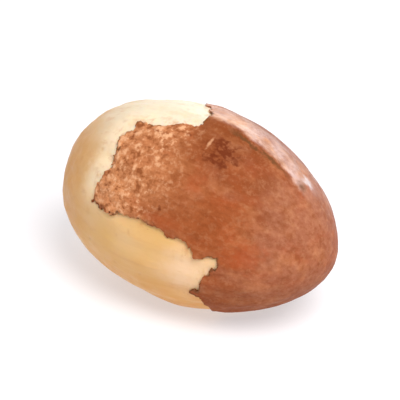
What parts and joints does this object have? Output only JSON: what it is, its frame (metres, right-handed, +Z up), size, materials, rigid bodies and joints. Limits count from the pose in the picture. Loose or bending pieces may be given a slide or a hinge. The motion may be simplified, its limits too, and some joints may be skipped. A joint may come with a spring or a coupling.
{
  "type": "brazil nut",
  "caption": "Shelled brazil nut lying on its base face, cream kernel with most of its thin brown skin still on, torn back from the broad end.",
  "frame": {"origin": "middle of the bounding box in X and Y, on the plane of the flat spot that the nut rests on", "axes": "+X along the nut from its broad bare end to its narrow end, +Z up, -Y towards the side with the largest torn edge"},
  "size_m": [0.0314, 0.0194, 0.0198],
  "materials": {
    "kernel_cream": "smooth, waxy, slightly translucent nut flesh",
    "skin_brown": "dry, finely grained seed skin"
  },
  "bodies": {
    "root": {"kernel": "kernel_cream", "skin": "skin_brown"}
  },
  "joints": []
}
